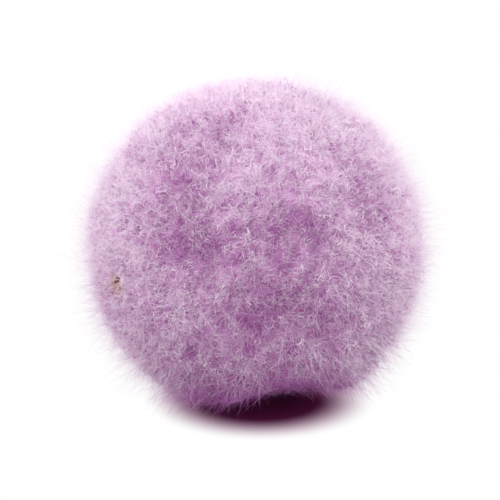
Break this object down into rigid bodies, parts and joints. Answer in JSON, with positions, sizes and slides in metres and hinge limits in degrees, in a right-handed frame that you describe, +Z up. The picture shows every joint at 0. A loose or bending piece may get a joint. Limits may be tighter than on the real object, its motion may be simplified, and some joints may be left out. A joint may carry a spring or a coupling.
{
  "type": "pompom",
  "caption": "Small fuzzy ball of crimped fibre, tied at its middle by a knotted thread and pressed slightly flat where it rests. Glued or sewn on as a soft trim.",
  "frame": {"origin": "middle of the flat spot that the pompom rests on", "axes": "+Z up from the flat spot through the middle of the ball; -Y is the front, and the knot's cut ends leave at +Y"},
  "size_m": [0.0229, 0.0227, 0.0222],
  "materials": {
    "pile_fibre": "soft lilac pile of fine crimped fibre, matt with a faint sheen",
    "thread": "twisted lilac sewing thread"
  },
  "bodies": {
    "root": {"pile": "pile_fibre", "binding_thread": "thread"}
  },
  "joints": []
}
